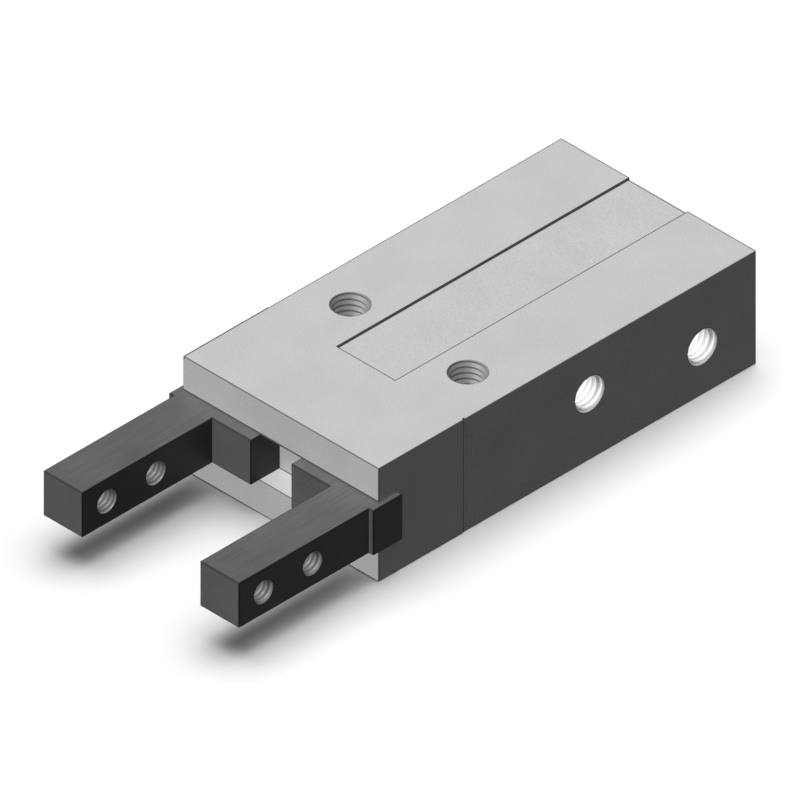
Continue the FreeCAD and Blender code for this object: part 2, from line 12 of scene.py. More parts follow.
import bpy
import numpy as np
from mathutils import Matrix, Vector


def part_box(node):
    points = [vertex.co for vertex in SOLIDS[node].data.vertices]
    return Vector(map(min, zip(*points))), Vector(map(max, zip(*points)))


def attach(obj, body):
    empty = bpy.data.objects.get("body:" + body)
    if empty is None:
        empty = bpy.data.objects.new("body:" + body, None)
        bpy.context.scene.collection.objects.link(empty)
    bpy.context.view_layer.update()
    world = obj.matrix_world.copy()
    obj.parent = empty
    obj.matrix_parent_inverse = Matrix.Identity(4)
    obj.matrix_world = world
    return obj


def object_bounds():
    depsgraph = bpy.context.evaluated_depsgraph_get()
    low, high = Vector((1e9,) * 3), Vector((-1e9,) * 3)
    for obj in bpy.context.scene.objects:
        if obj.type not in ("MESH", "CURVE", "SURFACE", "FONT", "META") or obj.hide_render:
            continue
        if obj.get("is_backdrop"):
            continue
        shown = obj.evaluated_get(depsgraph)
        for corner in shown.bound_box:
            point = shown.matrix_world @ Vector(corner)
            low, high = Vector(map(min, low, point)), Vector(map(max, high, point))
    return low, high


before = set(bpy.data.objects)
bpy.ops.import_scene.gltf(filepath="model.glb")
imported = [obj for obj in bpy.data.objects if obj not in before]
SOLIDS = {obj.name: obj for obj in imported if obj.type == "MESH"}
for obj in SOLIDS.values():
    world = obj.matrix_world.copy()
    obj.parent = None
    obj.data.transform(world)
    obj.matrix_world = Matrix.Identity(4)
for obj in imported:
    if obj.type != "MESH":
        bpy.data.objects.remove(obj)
low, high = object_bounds()
MM = 0.001
print("solids:", len(SOLIDS), "size in mm:", [round((b - a) / MM, 2) for a, b in zip(low, high)])

# %% [markdown]
# ## Camera
#
# The picture is an isometric drawing: width, depth and height are all foreshortened alike, and lines that are
# parallel on the object stay so. A perspective camera would make them meet, so this one is orthographic,
# turned 45 degrees and raised until the three directions look equally long. The height for that is the angle
# whose tangent is one over the square root of two.

# %% Aim the camera
VIEW_ACROSS = 57.75 * MM
CAMERA_REACH = 400 * MM
CAMERA_NEAR, CAMERA_FAR = 1 * MM, 4000 * MM
towards_camera = Vector((1, -1, 1)).normalized()
middle = (low + high) / 2
camera = bpy.data.objects.new("camera", bpy.data.cameras.new("camera"))
bpy.context.scene.collection.objects.link(camera)
camera.data.type = "ORTHO"
camera.data.ortho_scale = VIEW_ACROSS
camera.data.clip_start, camera.data.clip_end = CAMERA_NEAR, CAMERA_FAR
camera.location = middle + towards_camera * CAMERA_REACH
camera.rotation_euler = (-towards_camera).to_track_quat("-Z", "Y").to_euler()
bpy.context.scene.camera = camera
print("camera height angle:", round(math.degrees(math.asin(towards_camera.z)), 2))

# %% [markdown]
# ## Floor
#
# The object lies on a pale matt floor. The floor shows its shadow but throws no light back, because the right
# side of the block would turn grey from it. It lies a hair below the object, so the two faces don't flicker,
# and it is clear when seen from below, so the underside can be looked at.

# %% Lay the floor
FLOOR_HALF = 900 * MM
FLOOR_GAP = 0.01 * MM
FLOOR_TONE = 0.96
FLOOR_HEIGHT = low.z - FLOOR_GAP


def show_either(tree, switch, first, second, output_name):
    """The first shader shows where the switch is nought, and the second where it is one."""
    either = tree.nodes.new("ShaderNodeMixShader")
    for inlet, source in zip(either.inputs, (switch, first, second)):
        tree.links.new(source, inlet)
    tree.links.new(either.outputs[0], tree.nodes[output_name].inputs["Surface"])


corners = [(x * FLOOR_HALF, y * FLOOR_HALF, FLOOR_HEIGHT) for x, y in ((-1, -1), (1, -1), (1, 1), (-1, 1))]
floor_mesh = bpy.data.meshes.new("floor")
floor_mesh.from_pydata(corners, [], [(0, 1, 2, 3)])
floor = bpy.data.objects.new("floor", floor_mesh)
bpy.context.scene.collection.objects.link(floor)
floor_paint = bpy.data.materials.new("floor_paint")
floor_paint.use_nodes = True
floor_nodes = floor_paint.node_tree
floor_shader = floor_nodes.nodes["Principled BSDF"]
floor_shader.inputs["Base Color"].default_value = (FLOOR_TONE, FLOOR_TONE, FLOOR_TONE, 1)
floor_shader.inputs["Roughness"].default_value = 1.0
floor_shader.inputs["Specular IOR Level"].default_value = 0.0
clear = floor_nodes.nodes.new("ShaderNodeBsdfTransparent")
from_below = floor_nodes.nodes.new("ShaderNodeNewGeometry").outputs["Backfacing"]
show_either(floor_nodes, from_below, floor_shader.outputs[0], clear.outputs[0], "Material Output")
floor_mesh.materials.append(floor_paint)
floor.visible_diffuse = False
floor.visible_glossy = False
floor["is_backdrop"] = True
print("floor at height", round(FLOOR_HEIGHT / MM, 3), "mm")

# %% [markdown]
# ## Light
#
# In the picture the top is brightest, the front end is about two thirds as bright, and the right side is
# nearly black, so the key light stands high at the front left. A flat face catches light by the cosine of the
# angle between its normal and the light, and the key's direction is worked out from those three tones. The
# drawing has hardly any shadow on the object and shows even the inside of its holes, so most of the key casts
# no shadow and a small part casts a soft one. The floor has two lamps of its own. One is nearly overhead and
# gives the dark core of the shadow under the fingers. The other is wider and leans over from behind, so that
# the shadow fades out in front of the object and along its right side. A weak even sky keeps the dark side
# readable, and the camera sees a white backdrop in its place.

# %% Set the studio light
KEY_DIRECTION = Vector((-0.20, -0.525, 0.84))
KEY_STRENGTH = 3.60
KEY_SHARE_WITH_SHADOW = 0.06
KEY_SPREAD = 40
FLOOR_LAMPS = {
    # name: (direction that its light comes from, spread in degrees, strength)
    "floor_lamp_overhead": (Vector((-0.13, -0.02, 1.0)), 54, 1.80),
    "floor_lamp_behind": (Vector((0.08, 0.48, 1.0)), 76, 1.66),
}
SKY_STRENGTH = 0.088
WHITE = (1.0, 1.0, 1.0, 1.0)


def shine(name, direction, strength, spread, casts_shadow, on_floor):
    """Adds a distant lamp whose rays arrive from the direction, blurred over the spread angle in degrees.
    It lights the floor alone, or everything but the floor."""
    lamp = bpy.data.objects.new(name, bpy.data.lights.new(name, "SUN"))
    lamp.data.energy = strength
    lamp.data.angle = math.radians(spread)
    lamp.data.use_shadow = casts_shadow
    lamp.rotation_euler = (-direction).to_track_quat("-Z", "Y").to_euler()
    bpy.context.scene.collection.objects.link(lamp)
    reach = bpy.data.collections.new(name + "_reach")
    reach.objects.link(floor)
    reach.collection_objects[0].light_linking.link_state = "INCLUDE" if on_floor else "EXCLUDE"
    lamp.light_linking.receiver_collection = reach


with_shadow = KEY_STRENGTH * KEY_SHARE_WITH_SHADOW
shadowless = KEY_STRENGTH * (1 - KEY_SHARE_WITH_SHADOW)
shine("key_even", KEY_DIRECTION, shadowless, KEY_SPREAD, False, False)
shine("key_soft", KEY_DIRECTION, with_shadow, KEY_SPREAD, True, False)
for name, (direction, spread, strength) in FLOOR_LAMPS.items():
    shine(name, direction, strength, spread, True, True)
sky = bpy.data.worlds.new("sky")
bpy.context.scene.world = sky
sky.use_nodes = True
sky_nodes = sky.node_tree
weak_sky = sky_nodes.nodes["Background"]
weak_sky.inputs["Color"].default_value = WHITE
weak_sky.inputs["Strength"].default_value = SKY_STRENGTH
backdrop = sky_nodes.nodes.new("ShaderNodeBackground")
backdrop.inputs["Color"].default_value = WHITE
seen = sky_nodes.nodes.new("ShaderNodeLightPath").outputs["Is Camera Ray"]
show_either(sky_nodes, seen, weak_sky.outputs[0], backdrop.outputs[0], "World Output")
bpy.context.scene.view_settings.view_transform = "Standard"
print("key light from", tuple(round(c, 2) for c in KEY_DIRECTION), "floor lamps:", len(FLOOR_LAMPS))

# %% [markdown]
# ## Shared surface effects
#
# Five effects return on several pieces, so each is a node group, built once and given its own numbers in
# every material: the fine grain of a blasted or moulded skin, the straight lines that a cutter or grinding
# wheel leaves, the dark line along a broken edge, the same line round a hole's rim, and the scuffs of
# handling. All of them read the object's own coordinates in metres, so a grain of a tenth of a millimetre is
# that size on every piece.

# %% Small helpers for node trees
def new_group(name, inputs, outputs):
    """An empty shader node group. Inputs map a name to its socket type and start value, outputs to a type."""
    group = bpy.data.node_groups.new(name, "ShaderNodeTree")
    for label, (kind, start) in inputs.items():
        socket = group.interface.new_socket(label, in_out="INPUT", socket_type=kind)
        socket.default_value = start
    for label, kind in outputs.items():
        group.interface.new_socket(label, in_out="OUTPUT", socket_type=kind)
    return group, group.nodes.new("NodeGroupInput").outputs, group.nodes.new("NodeGroupOutput").inputs


def feed(tree, inlet, source):
    """Links the inlet where the source is another node's socket, and otherwise sets it to the source."""
    if isinstance(source, bpy.types.NodeSocket):
        tree.links.new(source, inlet)
    else:
        inlet.default_value = source


def put(tree, kind, **sources):
    """A node with its inputs fed. An input is named by its label, with _ for each space."""
    node = tree.nodes.new(kind)
    for label, source in sources.items():
        feed(tree, node.inputs[label.replace("_", " ")], source)
    return node


def reckon(tree, kind, operation, terms):
    """A Math or Vector Math node whose inputs share one label, so they are fed in their order."""
    node = tree.nodes.new(kind)
    node.operation = operation
    for inlet, term in zip(node.inputs, terms):
        feed(tree, inlet, term)
    return node.outputs


def sums(tree, operation, *terms):
    """One Math node on the terms, and its result."""
    return reckon(tree, "ShaderNodeMath", operation, terms)["Value"]


def arrows(tree, operation, *terms):
    """One Vector Math node on the terms, and its result, which is a number for a length."""
    outputs = reckon(tree, "ShaderNodeVectorMath", operation, terms)
    return outputs["Value" if operation == "LENGTH" else "Vector"]


VECTOR = ("NodeSocketVector", (0.0, 0.0, 0.0))
MASK = {"Mask": "NodeSocketFloat"}
HEIGHT_AND_TONE = {"Height": "NodeSocketFloat", "Tone": "NodeSocketFloat"}
print("helpers for node groups are ready")

# %% [markdown]
# ### Grain
#
# Blasting with fine beads dents the aluminium before it is anodised, and the oxide keeps the dents. Two
# noises stand for it: a fine one at the size of a dent gives height and a slight speckle, and one forty times
# as wide gives the drift in tone that an anodised batch shows. A painted image would need a texture file and
# would stretch on the narrow faces. Noise in space has neither fault.

# %% Build the grain group
WIDE_DRIFT = 1 / 40
grain, into, out = new_group(
    "grain",
    {"Place": VECTOR, "Dents per metre": ("NodeSocketFloat", 12000.0), "Drift": ("NodeSocketFloat", 0.5)},
    HEIGHT_AND_TONE,
)
fine = put(grain, "ShaderNodeTexNoise", Vector=into["Place"], Scale=into["Dents per metre"], Detail=2.0)
wide_scale = sums(grain, "MULTIPLY", into["Dents per metre"], WIDE_DRIFT)
wide = put(grain, "ShaderNodeTexNoise", Vector=into["Place"], Scale=wide_scale, Detail=3.0)
drift = sums(grain, "MULTIPLY", sums(grain, "SUBTRACT", wide.outputs["Fac"], 0.5), into["Drift"])
speckle = sums(grain, "ADD", fine.outputs["Fac"], drift)
grain.links.new(fine.outputs["Fac"], out["Height"])
grain.links.new(speckle, out["Tone"])
print("grain:", len(grain.nodes), "nodes")

# %% [markdown]
# ### Cutter lines
#
# A ground finger shows hair-fine lines along its length, and a turned piston shows rings. Both are one noise
# that is squeezed much harder across the lines than along them. The three squeeze values per metre say which
# way the lines run: large values across the lines, a small one along them.

# %% Build the cutter line group
CLOUDS_PER_METRE = 260.0
ALONG_BAR = (9000.0, 300.0, 9000.0)
cut_lines, into, out = new_group(
    "cut_lines",
    {"Place": VECTOR, "Squeeze": ("NodeSocketVector", ALONG_BAR), "Drift": ("NodeSocketFloat", 0.5)},
    HEIGHT_AND_TONE,
)
squeezed = arrows(cut_lines, "MULTIPLY", into["Place"], into["Squeeze"])
hairs = put(cut_lines, "ShaderNodeTexNoise", Vector=squeezed, Scale=1.0, Detail=4.0, Roughness=0.6)
cloud = put(cut_lines, "ShaderNodeTexNoise", Vector=into["Place"], Scale=CLOUDS_PER_METRE, Detail=2.0)
lean = sums(cut_lines, "MULTIPLY", sums(cut_lines, "SUBTRACT", cloud.outputs["Fac"], 0.5), into["Drift"])
cut_lines.links.new(hairs.outputs["Fac"], out["Height"])
cut_lines.links.new(sums(cut_lines, "ADD", hairs.outputs["Fac"], lean), out["Tone"])
print("cut_lines:", len(cut_lines.nodes), "nodes")

# %% [markdown]
# ### Edge line
#
# The block's edges are broken by a twentieth of a millimetre. The oxide is darker and rougher there, and the
# drawing shows each edge as a fine dark line. On a box, a point of the surface lies on one of the three pairs
# of planes, so one of its distances to the pairs is nought, and the middle one of the three is the way to the
# nearest edge. The middle of three numbers a, b, c is max(min(a, b), min(max(a, b), c)). The line is full up
# to eight tenths of its width and gone at thirteen tenths, and nothing further than a hair outside the box is
# marked.

# %% Build the edge line group
HAIR = 0.02 * MM
FULL_UP_TO, GONE_AT = 0.8, 1.3
edge_line, into, out = new_group(
    "edge_line",
    {"Place": VECTOR, "Low": VECTOR, "High": VECTOR, "Width": ("NodeSocketFloat", 0.1 * MM)},
    MASK,
)
over_low = arrows(edge_line, "SUBTRACT", into["Place"], into["Low"])
under_high = arrows(edge_line, "SUBTRACT", into["High"], into["Place"])
nearest = arrows(edge_line, "MINIMUM", over_low, under_high)
to_planes = put(edge_line, "ShaderNodeSeparateXYZ", Vector=nearest).outputs
smaller = sums(edge_line, "MINIMUM", to_planes[0], to_planes[1])
larger = sums(edge_line, "MAXIMUM", to_planes[0], to_planes[1])
to_edge = sums(edge_line, "MAXIMUM", smaller, sums(edge_line, "MINIMUM", larger, to_planes[2]))
widths_away = sums(edge_line, "DIVIDE", to_edge, into["Width"])
fade = put(edge_line, "ShaderNodeMapRange", Value=widths_away, From_Min=FULL_UP_TO, From_Max=GONE_AT,
           To_Min=1.0, To_Max=0.0).outputs[0]
on_the_box = sums(edge_line, "GREATER_THAN", sums(edge_line, "MINIMUM", smaller, to_planes[2]), -HAIR)
edge_line.links.new(sums(edge_line, "MULTIPLY", fade, on_the_box), out["Mask"])
print("edge_line:", len(edge_line.nodes), "nodes")

# %% [markdown]
# ### Rim line
#
# Each hole's rim reads as the same fine dark line. Seen along the hole's axis, a rim is a circle, so the mask
# asks how far a point is from the axis, and how far it is along the axis from the centre. A factor of nought
# on the axis and one across it takes the distance apart, and only a thin ring just outside the radius is
# marked.

# %% Build the rim line group
RIM_WIDTH = 0.045 * MM
rim_line, into, out = new_group(
    "rim_line",
    {"Place": VECTOR, "Centre": VECTOR, "Across": ("NodeSocketVector", (1.0, 1.0, 0.0)),
     "Radius": ("NodeSocketFloat", 1.5 * MM), "Reach": ("NodeSocketFloat", 1.0 * MM)},
    MASK,
)
from_centre = arrows(rim_line, "SUBTRACT", into["Place"], into["Centre"])
sideways = arrows(rim_line, "MULTIPLY", from_centre, into["Across"])
lengthways = arrows(rim_line, "SUBTRACT", from_centre, sideways)
outside = sums(rim_line, "SUBTRACT", arrows(rim_line, "LENGTH", sideways), into["Radius"])
off_ring = sums(rim_line, "ABSOLUTE", sums(rim_line, "SUBTRACT", outside, RIM_WIDTH / 2))
on_ring = sums(rim_line, "LESS_THAN", off_ring, RIM_WIDTH / 2)
near_rim = sums(rim_line, "LESS_THAN", arrows(rim_line, "LENGTH", lengthways), into["Reach"])
rim_line.links.new(sums(rim_line, "MULTIPLY", on_ring, near_rim), out["Mask"])
print("rim_line:", len(rim_line.nodes), "nodes")

# %% [markdown]
# ### Scuffs
#
# Handling leaves short scuffs. They are rare, so the mask is a stretched noise that only shows above a high
# threshold, the rarity: the larger it is, the fewer the scuffs. Just above it the scuff fades in.

# %% Build the scuff group
SCUFF_FADES_IN = 0.07
scuffs, into, out = new_group(
    "scuffs",
    {"Place": VECTOR, "Squeeze": ("NodeSocketVector", (900.0, 240.0, 900.0)),
     "Rarity": ("NodeSocketFloat", 0.66)},
    MASK,
)
drawn_out = arrows(scuffs, "MULTIPLY", into["Place"], into["Squeeze"])
streaks = put(scuffs, "ShaderNodeTexNoise", Vector=drawn_out, Scale=1.0, Detail=5.0, Roughness=0.65)
full = sums(scuffs, "ADD", into["Rarity"], SCUFF_FADES_IN)
shown = put(scuffs, "ShaderNodeMapRange", Value=streaks.outputs["Fac"], From_Min=into["Rarity"],
            From_Max=full)
scuffs.links.new(shown.outputs[0], out["Mask"])
print("scuffs:", len(scuffs.nodes), "nodes")

# %% [markdown]
# ## Finishes
#
# Each finish starts the same way: a Principled shader, the object's coordinates, and a base tone that a
# group's output swings between a darker and a paler colour. What differs is which group gives the pattern,
# how metallic the surface is and how deep its relief goes. Hard anodised aluminium counts as mostly
# non-metal, because its skin is an oxide. Bare steel and bronze are fully metallic.

# %% A finish from one pattern
def as_colour(tone, tint=(1.0, 1.0, 1.0)):
    """A grey of the given brightness, times a tint, with full opacity."""
    return (tone * tint[0], tone * tint[1], tone * tint[2], 1.0)


def start_finish(name, metallic, gloss):
    """A new material with its shader's metallic value and specular level set on the shader itself."""
    paint = bpy.data.materials.new(name)
    paint.use_nodes = True
    shader = paint.node_tree.nodes["Principled BSDF"]
    shader.inputs["Metallic"].default_value = metallic
    shader.inputs["Specular IOR Level"].default_value = gloss
    place = paint.node_tree.nodes.new("ShaderNodeTexCoord").outputs["Object"]
    return paint, paint.node_tree, shader, place


def put_group(tree, group, **values):
    """One of the shared groups inside a material, with this material's own values."""
    node = tree.nodes.new("ShaderNodeGroup")
    node.node_tree = group
    for label, source in values.items():
        feed(tree, node.inputs[label.replace("_", " ")], source)
    return node.outputs


def blend_colours(tree, amount, first, second):
    """The first colour where the amount is nought and the second where it is one. A Mix node keeps its two
    colour inputs behind those for numbers and vectors, at 6 and 7, and its colour output at 2."""
    node = tree.nodes.new("ShaderNodeMix")
    node.data_type = "RGBA"
    for index, source in ((0, amount), (6, first), (7, second)):
        feed(tree, node.inputs[index], source)
    return node.outputs[2]


def swing(tree, tone, low_colour, high_colour):
    """A colour that goes from the low to the high one over the middle of the tone, where noise mostly is."""
    along = put(tree, "ShaderNodeMapRange", Value=tone, From_Min=0.3, From_Max=0.7).outputs[0]
    return blend_colours(tree, along, low_colour, high_colour)


def lay_over(tree, colour, mask, share, tone, tint=(1.0, 1.0, 1.0)):
    """The share of a tone laid over the colour where the mask is one."""
    return blend_colours(tree, sums(tree, "MULTIPLY", mask, share), colour, as_colour(tone, tint))


def spread_roughness(tree, shader, tone, smooth, rough):
    """Roughness that goes from smooth to rough as the tone goes from nought to one."""
    rule = put(tree, "ShaderNodeMapRange", Value=tone, To_Min=smooth, To_Max=rough)
    tree.links.new(rule.outputs[0], shader.inputs["Roughness"])


def raise_relief(tree, shader, height, depth, strength=1.0):
    """A Bump node: the height pattern becomes relief of the given depth in metres."""
    bump = put(tree, "ShaderNodeBump", Strength=strength, Distance=depth, Height=height)
    tree.links.new(bump.outputs[0], shader.inputs["Normal"])


FINISHES = {}
print("finish helpers are ready")

# %% [markdown]
# ### Masks
#
# A mask is one where something is to be seen and nought elsewhere. The largest of several masks shows all of
# them, and the product of two shows only what they share. Where a part is the same on its left and its right,
# its place is folded over to the right side, and one mask serves both.

# %% Helpers for masks
def strongest(tree, *masks):
    """The largest of the masks."""
    result = masks[0]
    for mask in masks[1:]:
        result = sums(tree, "MAXIMUM", result, mask)
    return result


def shared(tree, first, second):
    """What two masks have in common."""
    return sums(tree, "MULTIPLY", first, second)


def close_to(tree, value, target, half):
    """One where the value is nearer to the target than half a line, and nought elsewhere."""
    off = sums(tree, "ABSOLUTE", sums(tree, "SUBTRACT", value, target))
    return sums(tree, "LESS_THAN", off, half)


def beyond(tree, value, limit):
    """One where the value is more than the limit."""
    return sums(tree, "GREATER_THAN", value, limit)


def short_of(tree, value, limit):
    """One where the value is less than the limit."""
    return sums(tree, "LESS_THAN", value, limit)


def take_apart(tree, place):
    """The width, depth and height of a place, its distance from the middle, and the place folded over."""
    width_way, depth_way, height_way = put(tree, "ShaderNodeSeparateXYZ", Vector=place).outputs
    half_width = sums(tree, "ABSOLUTE", width_way)
    fold = put(tree, "ShaderNodeCombineXYZ", X=half_width, Y=depth_way, Z=height_way).outputs[0]
    return width_way, depth_way, height_way, half_width, fold


print("helpers for masks are ready")

# %% [markdown]
# ### Hard anodised body
#
# The body is blasted, then hard anodised to a pale neutral grey with no shine. Its grain is about a tenth of
# a millimetre and its tone drifts by a few percent. The broken edges, the hole rims, the lips of the front
# slot and the border of the recess in the top read as fine dark lines. The walls of the recess and the relief
# groove in the sides are darkened the same way, and there the dark is also painted shade for these small
# hollows. Where the two sides are alike, a line is laid with the distance from the middle instead of the
# signed width. Every hole is given by its centre, the two directions across its axis, its radius and how far
# its rims are from that centre. The plate at the back of the slot has the same skin and is painted a shade
# darker: painted shade for the back of the slot.

# %% Say where the body's lines are
BODY_LOW, BODY_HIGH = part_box("body")
HOLE_RADIUS = 1.5 * MM
ACROSS_WIDTH, ACROSS_DEPTH, ACROSS_HEIGHT = (0.0, 1.0, 1.0), (1.0, 0.0, 1.0), (1.0, 1.0, 0.0)
BODY_HOLES = {
    # hole: (centre in mm, directions across the axis, radius, reach in mm, laid on both sides)
    "mounting_holes": ((6.0, 0.0, 5.0), ACROSS_HEIGHT, HOLE_RADIUS, 6.0, True),
    "rear_threads": ((7.0, 25.5, 5.0), ACROSS_DEPTH, HOLE_RADIUS, 1.0, True),
    "cylinder_mouth": ((0.0, 25.5, 5.0), ACROSS_DEPTH, 3.7 * MM, 0.5, True),
    "port_close": ((9.95, 8.5, 5.8), ACROSS_WIDTH, HOLE_RADIUS, 0.5, False),
    "port_open": ((9.95, 20.0, 4.2), ACROSS_WIDTH, HOLE_RADIUS, 0.5, False),
}
RECESS_HALF, RECESS_FRONT, RECESS_FLOOR = 3.0 * MM, -4.4 * MM, 9.75 * MM
PLATE_LOW, PLATE_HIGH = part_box("centre_plate")
SLOT_BOTTOM, SLOT_TOP = 3.0 * MM, 7.0 * MM
# Lines are given by their middle and half their width.
TOP_LEFT_LINE, TOP_REAR_LINE = (-9.885 * MM, 0.06 * MM), (25.41 * MM, 0.045 * MM)
UPPER_LIP_LINE, LOWER_LIP_LINE = (SLOT_TOP + 0.065 * MM, 0.085 * MM), (SLOT_BOTTOM - 0.065 * MM, 0.039 * MM)
# The side groove's band is painted shade.
SIDE_GROOVE_PAINTED_SHADE, SIDE_GROOVE_DEPTH = (-4.355 * MM, 0.12 * MM), 0.2 * MM
BORDER_HALF, WALL_HALF = 0.042 * MM, 0.03 * MM
BODY_EDGE, PLATE_EDGE = 0.065 * MM, 0.08 * MM
print("holes with a rim line:", sorted(BODY_HOLES))

# %% Lay the body's lines
paint, tree, shader, place = start_finish("hard_anodised_aluminium", 0.05, 0.3)
width_way, depth_way, height_way, half_width, fold = take_apart(tree, place)
lines = [put_group(tree, edge_line, Place=place, Low=BODY_LOW, High=BODY_HIGH, Width=BODY_EDGE)["Mask"],
         put_group(tree, edge_line, Place=place, Low=PLATE_LOW, High=PLATE_HIGH, Width=PLATE_EDGE)["Mask"]]
for centre, across, radius, reach, both_sides in BODY_HOLES.values():
    rim = put_group(tree, rim_line, Place=fold if both_sides else place, Centre=[c * MM for c in centre],
                    Across=across, Radius=radius, Reach=reach * MM)
    lines.append(rim["Mask"])
past_recess = strongest(tree, sums(tree, "SUBTRACT", width_way, RECESS_HALF),
                        sums(tree, "SUBTRACT", RECESS_FRONT, depth_way))
on_border = shared(tree, close_to(tree, past_recess, BORDER_HALF, BORDER_HALF),
                   beyond(tree, width_way, -RECESS_HALF))
# Painted shade: the walls of the recess are darkened along with their line.
wall_painted_shade = shared(tree, close_to(tree, half_width, RECESS_HALF, WALL_HALF),
                 beyond(tree, depth_way, RECESS_FRONT))
on_left, on_rear = close_to(tree, width_way, *TOP_LEFT_LINE), close_to(tree, depth_way, *TOP_REAR_LINE)
high_up = beyond(tree, height_way, RECESS_FLOOR - HAIR / 2)
lines.append(shared(tree, strongest(tree, on_border, wall_painted_shade, on_left, on_rear), high_up))
on_lips = strongest(tree, close_to(tree, height_way, *UPPER_LIP_LINE),
                    close_to(tree, height_way, *LOWER_LIP_LINE))
lines.append(shared(tree, on_lips, short_of(tree, depth_way, BODY_LOW.y + HAIR)))
# Painted shade: the relief groove in the sides is darkened.
on_sides = beyond(tree, half_width, BODY_HIGH.x - SIDE_GROOVE_DEPTH)
lines.append(shared(tree, close_to(tree, depth_way, *SIDE_GROOVE_PAINTED_SHADE), on_sides))
print("masks for the body's lines:", len(lines))

# %% Make the body finish
BODY_TONE = 0.585
LINE_SHARE = 0.9
skin = put_group(tree, grain, Place=place, Dents_per_metre=9000.0, Drift=0.30)
marks = put_group(tree, scuffs, Place=place, Squeeze=(700.0, 1900.0, 700.0), Rarity=0.72)["Mask"]
slot_middle, slot_half = (SLOT_BOTTOM + SLOT_TOP) / 2, (SLOT_TOP - SLOT_BOTTOM) / 2
# Painted shade: the plate at the back of the slot is laid a shade darker.
plate_painted_shade = shared(tree, close_to(tree, depth_way, PLATE_LOW.y, HAIR),
                  close_to(tree, height_way, slot_middle, slot_half - HAIR))
colour = swing(tree, skin["Tone"], as_colour(BODY_TONE * 0.90),
               as_colour(BODY_TONE * 1.10, (1.0, 1.0, 0.995)))
colour = lay_over(tree, colour, marks, 0.3, BODY_TONE * 1.2)
colour = lay_over(tree, colour, plate_painted_shade, 0.15, BODY_TONE * 0.45)
# This mask also holds the painted shade of the recess walls and the side groove.
colour = lay_over(tree, colour, strongest(tree, *lines), LINE_SHARE, BODY_TONE * 0.12)
tree.links.new(colour, shader.inputs["Base Color"])
spread_roughness(tree, shader, skin["Tone"], 0.50, 0.68)
raise_relief(tree, shader, skin["Height"], 0.004 * MM, 0.5)
FINISHES["body_aluminium"] = paint
print("body finish:", len(tree.nodes), "nodes")

# %% [markdown]
# ### Ground finger steel
#
# The fingers are hardened stainless steel with a dark heat colour, ground along their length. The lines run
# along the bar, so the noise is squeezed across it. The tone is about a quarter of the body's. The bar and
# the slider behind it are two boxes, and each gets its edge line, except where the bar grows out of the
# slider. The faces that look at the other finger stand deep in the slot and are painted nearly black:
# painted shade for the slot. Both fingers share one material: they mirror each other, so the boxes are laid
# with the distance from the middle.

# %% Make the finger finish
FINGER_TONE = 0.137
BAR_LOW, BAR_HIGH = (6.0 * MM, -27.35 * MM, 3.02 * MM), (10.0 * MM, -11.1 * MM, 6.98 * MM)
SLIDER_LOW, SLIDER_HIGH = (2.05 * MM, -14.1 * MM, 3.02 * MM), (10.45 * MM, -11.1 * MM, 6.98 * MM)
FINGER_HOLES = ((8.0, -24.85, 5.0), (8.0, -19.85, 5.0))  # centres in mm
FINGER_EDGE = 0.09 * MM
ROOT_MIDDLE, ROOT_HALF, ROOT_DEPTH = (BAR_LOW[0] + BAR_HIGH[0]) / 2, 1.9 * MM, 0.2 * MM
paint, tree, shader, place = start_finish("dark_ground_steel", 0.15, 0.35)
_, depth_way, _, half_width, fold = take_apart(tree, place)
bar_edges, slider_edges = (
    put_group(tree, edge_line, Place=fold, Low=box_low, High=box_high, Width=FINGER_EDGE)["Mask"]
    for box_low, box_high in ((BAR_LOW, BAR_HIGH), (SLIDER_LOW, SLIDER_HIGH)))
on_bar = short_of(tree, depth_way, SLIDER_LOW[1])
beside_root = sums(tree, "SUBTRACT", 1.0, close_to(tree, half_width, ROOT_MIDDLE, ROOT_HALF))
off_root = strongest(tree, beside_root, beyond(tree, depth_way, SLIDER_LOW[1] + ROOT_DEPTH))
lines = [shared(tree, bar_edges, on_bar), shared(tree, slider_edges, off_root)]
for centre in FINGER_HOLES:
    lines.append(put_group(tree, rim_line, Place=fold, Centre=[c * MM for c in centre], Across=ACROSS_WIDTH,
                           Radius=1.0 * MM, Reach=2.5 * MM)["Mask"])
ground = put_group(tree, cut_lines, Place=place, Squeeze=ALONG_BAR, Drift=0.4)
marks = put_group(tree, scuffs, Place=place, Squeeze=(2200.0, 600.0, 2200.0), Rarity=0.71)["Mask"]
# Painted shade: the slider's inner end and the bar's inner side, deep in the slot, go nearly black.
inner_end_painted_shade = sums(tree, "MULTIPLY", short_of(tree, half_width, SLIDER_LOW[0] + HAIR), 0.94)
inner_side_painted_shade = shared(tree, on_bar, short_of(tree, half_width, BAR_LOW[0] + HAIR))
inner_side_painted_shade = sums(tree, "MULTIPLY", inner_side_painted_shade, 0.4)
colour = swing(tree, ground["Tone"], as_colour(FINGER_TONE * 0.84),
               as_colour(FINGER_TONE * 1.16, (1.0, 1.0, 1.01)))
colour = lay_over(tree, colour, marks, 0.35, FINGER_TONE * 1.7)
# The painted shade of the faces inside the slot is laid here.
colour = blend_colours(tree, strongest(tree, inner_end_painted_shade, inner_side_painted_shade), colour, as_colour(FINGER_TONE * 0.15))
colour = lay_over(tree, colour, strongest(tree, *lines), LINE_SHARE, FINGER_TONE * 0.1)
tree.links.new(colour, shader.inputs["Base Color"])
spread_roughness(tree, shader, ground["Tone"], 0.42, 0.60)
raise_relief(tree, shader, ground["Height"], 0.003 * MM, 0.5)
FINISHES["finger_steel"] = paint
print("finger finish:", len(tree.nodes), "nodes")

# %% [markdown]
# ### Bare metals inside
#
# The levers, pins, balls, rod and piston are bare metal. A table gives each one its tone, tint, way of
# cutting and polish: a ground pin shows rings round its own axis, a turned piston shows rings round the
# cylinder's axis, and a polished ball hardly shows anything. Only the squeeze of the lines, the tone and the
# roughness differ.

